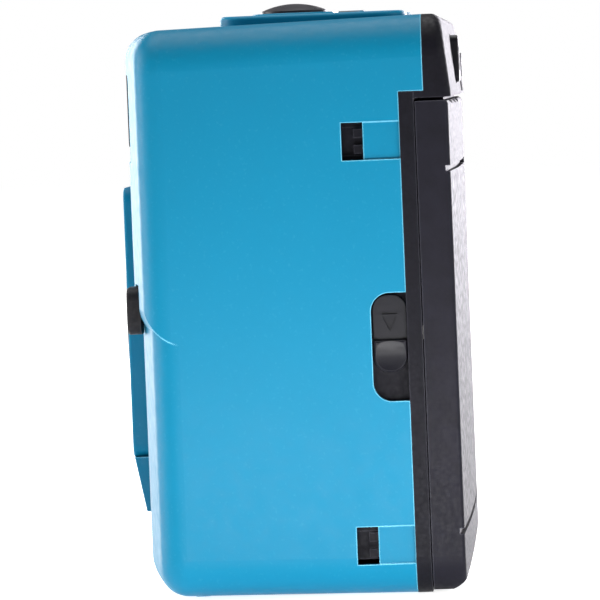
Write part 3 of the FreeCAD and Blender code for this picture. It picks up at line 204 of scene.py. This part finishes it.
# ---------------------------------------------------------------- plastics
def satin_plastic(name, colour, light, roughness=0.42):
    """Painted-looking satin moulding: even colour, very fine spark-eroded grain, painted sparkle glints and
    painted highlights on its edges.
    """
    g = Graph(name)
    drift = g.noise(18, 3)
    tone = g.ramp(drift, (0.35, colour), (0.7, shade(colour, 0.93)))
    # painted sparkle: fine glints mixed towards the pale highlight colour
    painted_sparkle = g.range(g.noise(2600, 1), 0.62, 0.80, 0.0, 0.025)
    tone = g.mix(painted_sparkle, tone, light)
    # painted highlight: sharp edges mixed towards the pale highlight colour
    tone = g.mix(g.times(edge_wear_and_highlight(g), 0.85), tone, light)
    g.link(tone, "Base Color")
    g.link(g.range(g.noise(900, 3), 0.3, 0.7, roughness - 0.05, roughness + 0.07), "Roughness")
    fine = g.plus(g.cells(3400), g.noise(5200, 2))
    g.link(g.bump(fine, 0.02, 0.04 * MM), "Normal")
    g.set(Specular_IOR_Level=0.12)
    return g.material


def mottled(g, colour):
    """A black that drifts a little in tone."""
    return g.ramp(g.noise(420, 4), (0.3, shade(colour, 0.8)), (0.72, shade(colour, 1.25)))


def etched_height(g, pits):
    """Height of an etched grain: pits with a finer roughness over them."""
    return g.plus(pits, g.times(g.noise(1300, 3), 0.6))


def dust_and_edge_highlight(g, tone, dust_and_highlight_colour):
    """A few pale dust specks, and painted highlights on the edges."""
    dust = g.range(g.cells(260), 0.075, 0.055, 0.0, 0.5)
    keep = g.range(g.noise(140, 1), 0.56, 0.62, 0.0, 1.0)
    tone = g.mix(g.math("MULTIPLY", dust, keep, clamp=True), tone, dust_and_highlight_colour)
    # painted highlight: edges mixed towards the pale colour
    return g.mix(g.times(edge_wear_and_highlight(g), 0.35), tone, dust_and_highlight_colour)


def grained_plastic(name, colour, dust_and_highlight_colour, roughness=0.5, scale=2100):
    """Black moulding with an etched grain, a few pale dust specks and painted edge highlights."""
    g = Graph(name)
    tone = mottled(g, colour)
    pits = g.cells(scale, "SMOOTH_F1", smooth=0.4)
    tone = g.mix(g.range(pits, 0.1, 0.8, 0.0, 0.35), tone, shade(colour, 0.5))
    g.link(dust_and_edge_highlight(g, tone, dust_and_highlight_colour), "Base Color")
    g.link(g.range(pits, 0.0, 0.9, roughness - 0.1, roughness + 0.14), "Roughness")
    g.link(g.bump(etched_height(g, pits), 0.2, 0.06 * MM), "Normal")
    g.set(Specular_IOR_Level=0.1)
    return g.material


def smooth_black(name, colour=(0.0045, 0.0045, 0.0070), roughness=0.36):
    """Semi-gloss black trim with faint handling marks."""
    g = Graph(name)
    g.link(g.ramp(g.noise(60, 3), (0.3, colour), (0.75, shade(colour, 1.5))), "Base Color")
    rubs = g.node("Mapping", Vector=g.place, Scale=(300, 300, 2600)).outputs["Vector"]
    g.link(g.range(g.noise(1, 4, place=rubs), 0.35, 0.7, roughness - 0.06, roughness + 0.12), "Roughness")
    g.link(g.bump(g.noise(2400, 2), 0.1, 0.02 * MM), "Normal")
    g.set(Specular_IOR_Level=0.2)
    return g.material


def matt_black():
    """Anti-reflection black of the parts inside the light path."""
    g = Graph("light_trap_black")
    colour = (0.012, 0.012, 0.013)
    g.link(g.ramp(g.noise(700, 4), (0.3, colour), (0.7, shade(colour, 1.8))), "Base Color")
    g.link(g.range(g.noise(1500, 2), 0.3, 0.7, 0.72, 0.9), "Roughness")
    g.link(g.bump(g.cells(2600), 0.4, 0.05 * MM), "Normal")
    g.set(Specular_IOR_Level=0.25)
    return g.material


def door_plastic():
    """The door's black: etched grain, and a pebbled panel inside its groove, with painted shade in the
    creases between its pebbles.
    """
    g = Graph("door_plastic")
    colour, dust_and_highlight_colour = (0.0064, 0.0060, 0.0105), (0.13, 0.13, 0.16)
    x, y, z = (g.axis(a) for a in "XYZ")
    panel = g.times(g.above(y, PANEL_Y), g.times(g.within(x, *PANEL_X), g.within(z, *PANEL_Z)))
    pebbles = g.cells(780, "DISTANCE_TO_EDGE")
    hide = g.range(pebbles, 0.0, 0.28, 0.0, 1.0)
    pits = g.cells(2100, "SMOOTH_F1", smooth=0.4)
    # painted shade: the creases between the pebbles are darkened
    painted_crease_shade = g.times(g.minus(1.0, hide), panel)
    tone = g.mix(g.times(painted_crease_shade, 0.7), mottled(g, colour), shade(colour, 0.35))
    g.link(dust_and_edge_highlight(g, tone, dust_and_highlight_colour), "Base Color")
    round_panel, on_panel = g.range(pits, 0.0, 0.9, 0.38, 0.62), g.range(hide, 0.0, 1.0, 0.6, 0.4)
    g.link(g.mix_value(panel, round_panel, on_panel), "Roughness")
    small = g.bump(etched_height(g, pits), 0.18, 0.04 * MM)
    g.link(g.bump(g.times(hide, panel), 0.3, 0.1 * MM, small), "Normal")
    g.set(Specular_IOR_Level=0.12)
    return g.material


# ---------------------------------------------------------------- clear pieces
def clear_plastic(name, tint=(0.96, 0.98, 0.98), roughness=0.03, ior=1.49):
    """Clear moulding or glass with a faint haze."""
    g = Graph(name)
    g.link(g.ramp(g.noise(90, 2), (0.3, tint), (0.7, shade(tint, 0.97))), "Base Color")
    g.link(g.range(g.noise(300, 3), 0.4, 0.75, roughness, roughness + 0.04), "Roughness")
    g.set(Transmission_Weight=0.95, IOR=ior)
    return g.material


def coated_lens(name, tint, coat_tint_and_reflection):
    """Lens with a coloured coating, painted as a reflection of its colour that grows towards the edge where
    the surface turns from view.
    """
    g = Graph(name)
    # painted reflection: the coating's colour mixed into the base colour by how far the surface turns from
    # view
    facing = g.node("LayerWeight", Blend=0.35).outputs["Facing"]
    g.link(g.mix(g.range(facing, 0.0, 0.8, 0.0, 0.5), tint, coat_tint_and_reflection), "Base Color")
    g.link(g.range(g.noise(400, 2), 0.4, 0.7, 0.0, 0.02), "Roughness")
    g.set(Transmission_Weight=0.96, IOR=1.58, Coat_Weight=0.6, Coat_Roughness=0.02, Coat_Tint=(*coat_tint_and_reflection, 1.0))
    return g.material


def flash_diffuser():
    """Milky clear window with fine upright prisms."""
    g = Graph("flash_diffuser")
    g.link(g.ramp(g.noise(120, 2), (0.3, (0.93, 0.95, 0.95)), (0.7, (0.88, 0.9, 0.9))), "Base Color")
    prisms = g.zigzag(g.times(g.axis("X"), 2200.0))
    g.link(g.bump(prisms, 0.9, 0.22 * MM), "Normal")
    g.link(g.range(g.noise(700, 2), 0.3, 0.7, 0.08, 0.2), "Roughness")
    g.set(Transmission_Weight=0.8, IOR=1.49)
    return g.material


# ---------------------------------------------------------------- metals and others
def metal(name, colour, roughness, brushed, wear=0.1):
    """Metal with fine streaks; brushed gives how closely they lie along each axis."""
    g = Graph(name)
    lines = g.node("Mapping", Vector=g.place, Scale=tuple(400.0 * b for b in brushed)).outputs["Vector"]
    streaks = g.noise(1, 5, place=lines)
    g.link(g.ramp(streaks, (0.3, colour), (0.75, shade(colour, 0.78))), "Base Color")
    g.link(g.range(streaks, 0.3, 0.7, roughness, roughness + wear), "Roughness")
    g.link(g.bump(streaks, 0.15, 0.02 * MM), "Normal")
    g.set(Metallic=1.0)
    return g.material


def painted_steel():
    """Thin black paint over steel that shows on worn edges."""
    g = Graph("blade_black")
    worn = g.times(edge_wear_and_highlight(g), g.range(g.noise(600, 3), 0.4, 0.6, 0.0, 1.0))
    paint = g.ramp(g.noise(300, 3), (0.3, (0.02, 0.02, 0.022)), (0.7, (0.03, 0.03, 0.033)))
    g.link(g.mix(worn, paint, (0.35, 0.34, 0.33)), "Base Color")
    g.link(g.range(g.noise(900, 2), 0.3, 0.7, 0.4, 0.55), "Roughness")
    g.link(g.bump(g.noise(3000, 2), 0.2, 0.02 * MM), "Normal")
    return g.material


def circuit_board():
    """Green solder mask over paler copper runs, with tinned pads."""
    g = Graph("circuit_board")
    weave = g.noise(60, 1)
    rows = g.zigzag(g.plus(g.times(g.axis("X"), 620.0), g.times(weave, 3.0)))
    run = g.range(rows, 0.5, 0.56, 0.0, 1.0)
    lots = g.above(g.noise(130, 0), 0.5)
    tracks = g.times(run, lots)
    pads = g.range(g.cells(420), 0.2, 0.17, 0.0, 1.0)
    tone = g.mix(tracks, (0.012, 0.12, 0.045), (0.04, 0.26, 0.09))
    tone = g.mix(g.times(pads, 0.9), tone, (0.62, 0.6, 0.55))
    g.link(tone, "Base Color")
    g.link(g.range(pads, 0.0, 1.0, 0.32, 0.22), "Roughness")
    g.link(pads, "Metallic")
    g.link(g.bump(g.plus(tracks, pads), 0.4, 0.04 * MM), "Normal")
    return g.material


def wound_copper():
    """Enamelled wire in close turns, with painted shade between them and painted highlights along their
    crests.
    """
    g = Graph("wound_copper")
    turns = g.zigzag(g.times(g.axis("Z"), 4200.0))
    # painted shade and highlight: dark copper between the turns, pale copper along their crests
    g.link(g.ramp(turns, (0.1, (0.16, 0.05, 0.02)), (0.8, (0.75, 0.32, 0.14))), "Base Color")
    g.link(g.bump(turns, 0.8, 0.1 * MM), "Normal")
    g.link(g.range(g.noise(900, 2), 0.3, 0.7, 0.25, 0.4), "Roughness")
    g.set(Metallic=0.9)
    return g.material


def sleeved_can():
    """Capacitor sleeve: dark film with a pale polarity stripe of plain dashes."""
    g = Graph("sleeved_can")
    low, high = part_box("flash_capacitor")
    middle = (low + high) / 2
    side = g.minus(g.axis("X"), middle.x)
    stripe = g.below(g.math("ABSOLUTE", side), 1.0 * MM)
    front = g.below(g.axis("Y"), middle.y)  # the stripe runs down one side only
    dash = g.above(g.zigzag(g.times(g.axis("Z"), 420.0)), 0.4)
    mark = g.times(g.times(stripe, front), dash)
    base = g.ramp(g.noise(150, 3), (0.3, (0.02, 0.025, 0.05)), (0.7, (0.035, 0.04, 0.075)))
    top = g.above(g.axis("Z"), high.z - 0.7 * MM)
    tone = g.mix(mark, base, (0.6, 0.62, 0.66))
    g.link(g.mix(top, tone, (0.62, 0.62, 0.63)), "Base Color")
    g.link(top, "Metallic")
    g.link(g.range(g.noise(400, 2), 0.3, 0.7, 0.25, 0.38), "Roughness")
    g.link(g.bump(g.noise(500, 3), 0.12, 0.05 * MM), "Normal")
    return g.material


def sleeved_cell():
    """AAA cell: plain film in two greys, bare metal ends."""
    g = Graph("sleeved_cell")
    low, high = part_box("battery_cell")
    tall = high.z - low.z
    z = g.axis("Z")
    upper = g.above(z, low.z + 0.7 * tall)
    tone = g.mix(upper, (0.45, 0.46, 0.47), (0.20, 0.21, 0.22))
    ring = g.below(g.math("ABSOLUTE", g.minus(z, low.z + 0.68 * tall)), 0.5 * MM)
    tone = g.mix(ring, tone, (0.7, 0.7, 0.7))
    ends = g.math("MAXIMUM", g.above(z, high.z - 1.5 * MM), g.below(z, low.z + 0.5 * MM))
    scuffs = g.range(g.noise(90, 3), 0.4, 0.7, 0.0, 0.2)
    tone = g.mix(scuffs, tone, (0.3, 0.3, 0.3))
    g.link(g.mix(ends, tone, (0.65, 0.65, 0.64)), "Base Color")
    g.link(ends, "Metallic")
    g.link(g.range(g.noise(500, 2), 0.3, 0.7, 0.2, 0.34), "Roughness")
    return g.material


def foam():
    """Open black foam of the light seals, with painted shade in its pores."""
    g = Graph("foam")
    # painted shade: darker in the pores, where the cells are deepest
    g.link(g.ramp(g.cells(2600), (0.1, (0.008, 0.008, 0.008)), (0.8, (0.035, 0.035, 0.036))), "Base Color")
    g.link(g.range(g.noise(900, 2), 0.3, 0.7, 0.85, 1.0), "Roughness")
    g.link(g.bump(g.cells(2600), 0.9, 0.2 * MM), "Normal")
    g.set(Specular_IOR_Level=0.15)
    return g.material


def amber_lamp():
    """Tinted lamp that lets some light through."""
    g = Graph("amber_lamp")
    g.link(g.ramp(g.noise(500, 2), (0.3, (0.95, 0.3, 0.06)), (0.7, (0.85, 0.22, 0.04))), "Base Color")
    g.link(g.range(g.noise(700, 2), 0.3, 0.7, 0.1, 0.2), "Roughness")
    g.set(Transmission_Weight=0.5, IOR=1.5, Subsurface_Weight=0.2, Subsurface_Scale=0.6 * MM)
    return g.material


def printed_dial():
    """Pale counter dial with dark frame ticks round its edge."""
    g = Graph("printed_dial")
    low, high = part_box("counter_dial")
    middle = (low + high) / 2
    dx = g.minus(g.axis("X"), middle.x)
    dy = g.minus(g.axis("Y"), middle.y)
    turn = g.times(g.math("ARCTAN2", dy, dx), 2 * DIAL_FRAMES / math.tau)
    radius = g.math("SQRT", g.plus(g.times(dx, dx), g.times(dy, dy)))
    tick = g.below(g.zigzag(turn), 0.2)
    band = g.above(radius, 4.1 * MM)
    base = g.ramp(g.noise(400, 2), (0.3, (0.75, 0.75, 0.73)), (0.7, (0.68, 0.68, 0.66)))
    g.link(g.mix(g.times(tick, band), base, (0.03, 0.03, 0.03)), "Base Color")
    g.link(g.range(g.noise(800, 2), 0.3, 0.7, 0.4, 0.5), "Roughness")
    return g.material


def moulded_components():
    """Dark parts on the board, each with its own tone."""
    g = Graph("moulded_components")
    tones = (0.42, (0.02, 0.02, 0.02)), (0.47, (0.16, 0.1, 0.05)), (0.55, (0.03, 0.035, 0.06))
    g.link(g.ramp(g.noise(150, 0), *tones), "Base Color")
    g.link(g.range(g.noise(900, 2), 0.3, 0.7, 0.3, 0.5), "Roughness")
    g.link(g.bump(g.noise(1800, 2), 0.2, 0.03 * MM), "Normal")
    return g.material


# ---------------------------------------------------------------- materials on the CAD nodes
# the second colour is the painted highlight of the blue's edges and sparkle
BLUE, BLUE_EDGE_HIGHLIGHT = (0.0015, 0.157, 0.275), (0.24, 0.68, 0.88)
# the second colour serves the dust specks and the painted edge highlights
BLACK, DUST_AND_HIGHLIGHT = (0.0048, 0.0046, 0.0078), (0.08, 0.08, 0.10)


def dress(material, *names):
    """Give CAD nodes one material."""
    for name in names:
        slots = NODES[name].data.materials
        slots.clear()
        slots.append(material)


def dress_everything():
    blue = satin_plastic("blue_satin", BLUE, BLUE_EDGE_HIGHLIGHT)
    dress(blue, "front_shell", "lens_panel")
    deck = satin_plastic("deck_blue", shade(BLUE, 1.15), BLUE_EDGE_HIGHLIGHT, 0.38)
    dress(deck, "top_deck")
    dress(grained_plastic("black_grain", BLACK, DUST_AND_HIGHLIGHT), "chassis", "rear_top_cover", "battery_cover")
    dress(door_plastic(), "film_door")
    dress(smooth_black("trim_black"), "viewfinder_front_frame", "eyepiece_frame", "lens_bezel", "rewind_hub",
          "thumb_wheel", "latch_slider", "crank_arm", "crank_knob", "rewind_release_button")
    dress(smooth_black("button_black", (0.022, 0.021, 0.026), 0.33), "shutter_button")
    dress(grained_plastic("switch_black", (0.02, 0.018, 0.02), DUST_AND_HIGHLIGHT, 0.42, 2600), "flash_switch")
    dress(matt_black(), "viewfinder_tube", "lens_barrel", "light_baffle", "shutter_plate",
          "shutter_housing", "battery_holder", "take_up_spool", "film_sprocket", "aperture_plate")
    dress(clear_plastic("clear_window"), "counter_window", "eyepiece_window")
    dress(clear_plastic("flash_tube_glass", (0.97, 0.97, 0.98), 0.01, 1.47), "flash_tube")
    dress(coated_lens("taking_lens", (0.9, 0.93, 0.98), (0.35, 0.2, 0.75)), "front_lens_element",
          "rear_lens_element")
    dress(coated_lens("finder_lens", (0.93, 0.96, 0.98), (0.3, 0.5, 0.8)), "viewfinder_front_lens",
          "viewfinder_rear_lens")
    dress(flash_diffuser(), "flash_window")
    dress(metal("polished_reflector", (0.86, 0.86, 0.87), 0.06, (1, 1, 1), 0.05), "flash_reflector")
    dress(metal("spring_steel", (0.62, 0.62, 0.63), 0.22, (0.5, 0.5, 5)), "button_spring", "latch_spring",
          "shutter_pivot_pins", "hinge_pin", "release_lever", "shutter_trip_lever", "anti_reverse_pawl")
    dress(metal("leaf_steel", (0.6, 0.58, 0.55), 0.28, (5, 1, 0.4)), "pressure_spring", "door_catch")
    dress(metal("plated_contact", (0.72, 0.66, 0.5), 0.25, (1, 1, 4)), "battery_positive_contact",
          "battery_negative_spring", "switch_contact_plate")
    dress(metal("black_screw", (0.12, 0.12, 0.125), 0.3, (1, 5, 1)), "case_screws")
    dress(painted_steel(), "shutter_blade", "pressure_plate")
    dress(circuit_board(), "flash_board")
    dress(moulded_components(), "board_components")
    dress(wound_copper(), "flash_transformer")
    dress(sleeved_can(), "flash_capacitor")
    dress(sleeved_cell(), "battery_cell")
    dress(amber_lamp(), "flash_ready_lamp")
    dress(printed_dial(), "counter_dial")
    dress(satin_plastic("cam_nylon", (0.62, 0.62, 0.58), (0.8, 0.8, 0.78), 0.45), "shutter_cam")
    dress(foam(), "door_light_seals")


def soften_edges():
    """Small bevels that catch the light, as moulded edges do; the thinnest pieces stay sharp."""
    widths = {
        0.12: ("front_shell", "rear_top_cover", "film_door", "lens_panel", "top_deck", "battery_cover",
               "flash_window"),
        0.1: ("latch_slider", "flash_switch", "rewind_hub", "crank_arm", "viewfinder_front_frame",
              "battery_holder", "shutter_button"),
        0.08: ("chassis", "crank_knob", "eyepiece_frame", "counter_window"),
        0.06: ("thumb_wheel", "lens_bezel"),
        0.05: ("pressure_plate",)}
    for name, width in ((name, width) for width, names in widths.items() for name in names):
        made = NODES[name].modifiers.new("edge", "BEVEL")
        made.width = width * MM
        made.segments = 2
        made.limit_method = "ANGLE"
        made.angle_limit = BEVEL_ANGLE
        made.use_clamp_overlap = True
    for node in NODES.values():
        even = node.modifiers.new("even_normals", "WEIGHTED_NORMAL")
        even.mode = "FACE_AREA"
        even.weight = 100
        even.keep_sharp = True


# ---------------------------------------------------------------- springs
def coil_spring(name, node, turns, wire):
    """A wound spring standing for the CAD's stiff one.

    wire is the wire's radius.
    """
    low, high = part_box(node)
    x, y = (low[0] + high[0]) / 2, (low[1] + high[1]) / 2
    radius, length = (high[0] - low[0]) / 2 - wire, high[2] - low[2]
    steps = turns * COIL_STEPS
    mesh = bmesh.new()
    rings = []
    for i in range(steps + 1):
        share = i / steps
        turn = share * turns * math.tau
        # the end coils lie closer together than the working coils
        climb = share - COIL_CLOSING * math.sin(share * math.tau) / (math.tau * (turns - 1))
        z = low[2] + wire + climb * (length - 2 * wire)
        ring = []
        for k in range(COIL_SIDES):
            angle = k / COIL_SIDES * math.tau
            out = radius + wire * math.cos(angle)
            point = (x + out * math.cos(turn), y + out * math.sin(turn), z + wire * math.sin(angle))
            ring.append(mesh.verts.new(point))
        rings.append(ring)
    for a, b in zip(rings, rings[1:]):
        for k in range(COIL_SIDES):
            after = (k + 1) % COIL_SIDES
            mesh.faces.new((a[k], b[k], b[after], a[after])).smooth = True
    mesh.faces.new(rings[0])
    mesh.faces.new(reversed(rings[-1]))
    bmesh.ops.recalc_face_normals(mesh, faces=mesh.faces)
    data = bpy.data.meshes.new(name)
    mesh.to_mesh(data)
    mesh.free()
    data.materials.append(bpy.data.materials["spring_steel"])
    made = bpy.data.objects.new(name, data)
    bpy.context.scene.collection.objects.link(made)
    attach(made, "camera_body")
    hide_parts(node)
    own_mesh(made)


def springs():
    coil_spring("latch_coil", "latch_spring", 9, 0.1 * MM)
    coil_spring("button_coil", "button_spring", 4, 0.2 * MM)


# ---------------------------------------------------------------- studio
def floor_material():
    """Pale floor that glows a little, so that it reads nearly white."""
    g = Graph("studio_floor")
    g.link(g.ramp(g.noise(3, 2), (0.3, (0.86, 0.86, 0.87)), (0.7, (0.83, 0.83, 0.84))), "Base Color")
    g.set(Roughness=0.7, Emission_Color=(1.0, 1.0, 1.0, 1.0), Emission_Strength=0.82)
    return g.material


def studio():
    """Floor, and a world that is dim as a light but white behind the object."""
    bpy.ops.mesh.primitive_plane_add(size=FLOOR_SIZE, location=(0, 0, -FLOOR_DROP))
    floor = bpy.context.object
    floor.name = "floor"
    floor.data.materials.append(floor_material())
    world = bpy.data.worlds.new("studio")
    world.use_nodes = True
    tree = world.node_tree
    fill = tree.nodes["Background"]
    fill.inputs["Color"].default_value = (1.0, 1.0, 1.0, 1.0)
    fill.inputs["Strength"].default_value = 0.2
    seen = tree.nodes.new("ShaderNodeBackground")
    seen.inputs["Color"].default_value = (1.0, 1.0, 1.0, 1.0)
    choose = tree.nodes.new("ShaderNodeMixShader")
    tree.links.new(tree.nodes.new("ShaderNodeLightPath").outputs["Is Camera Ray"], choose.inputs[0])
    tree.links.new(fill.outputs[0], choose.inputs[1])
    tree.links.new(seen.outputs[0], choose.inputs[2])
    tree.links.new(choose.outputs[0], tree.nodes["World Output"].inputs["Surface"])
    bpy.context.scene.world = world


def softbox(name, place, target, size, power, colour=(1, 1, 1)):
    """A soft lamp that lights its target and isn't seen itself."""
    light = bpy.data.lights.new(name, "AREA")
    light.shape = "RECTANGLE"
    light.size, light.size_y = size
    light.energy = power
    light.color = colour
    lamp = bpy.data.objects.new(name, light)
    lamp.location = place
    lamp.rotation_mode = "QUATERNION"
    lamp.visible_camera = False
    lamp.rotation_quaternion = (Vector(target) - Vector(place)).to_track_quat("-Z", "Y")
    bpy.context.scene.collection.objects.link(lamp)


def lights():
    centre = (0.0, 0.0, 0.03)
    softbox("key", (1.0, -0.45, 0.5), centre, (0.8, 0.6), 0.3)
    softbox("top", (-0.15, -0.1, 1.1), centre, (1.2, 0.9), 15)
    softbox("behind", (-1.1, 0.45, 0.12), centre, (0.7, 0.6), 13, (0.95, 0.92, 1.0))
    softbox("front_rim", (-1.0, -0.46, 0.15), centre, (0.3, 0.7), 6)
    softbox("front_left", (-0.3, -1.1, 0.3), centre, (0.7, 0.6), 10)
    softbox("back_left", (0.3, 1.1, 0.5), centre, (0.7, 0.6), 4)
    softbox("table_glow", (0.112, 0.012, 0.008), (0.055, 0.004, 0.012), (0.10, 0.016), 0.06)


def camera():
    """Level with the camera's end, a touch behind its back plane, rolled a little as if hand-held."""
    azimuth, elevation, roll = math.radians(92.2), math.radians(1.9), math.radians(2.3)
    distance = 0.7
    aim = Vector((0.055, 0.0024, 0.0317))
    back = Vector((math.sin(azimuth) * math.cos(elevation), -math.cos(azimuth) * math.cos(elevation),
                   math.sin(elevation)))
    lens = bpy.data.cameras.new("camera")
    lens.sensor_width = SENSOR
    lens.lens = SENSOR * distance / VIEW_WIDTH
    lens.clip_start, lens.clip_end = 0.01, 20.0
    made = bpy.data.objects.new("camera", lens)
    made.location = aim + back * distance
    made.rotation_mode = "QUATERNION"
    turn = (-back).to_track_quat("-Z", "Y")
    made.rotation_quaternion = turn @ Matrix.Rotation(-roll, 3, "Z").to_quaternion()
    bpy.context.scene.collection.objects.link(made)
    bpy.context.scene.camera = made


dress_everything()
soften_edges()
springs()
studio()
lights()
camera()
bpy.context.scene.view_settings.view_transform = "Standard"
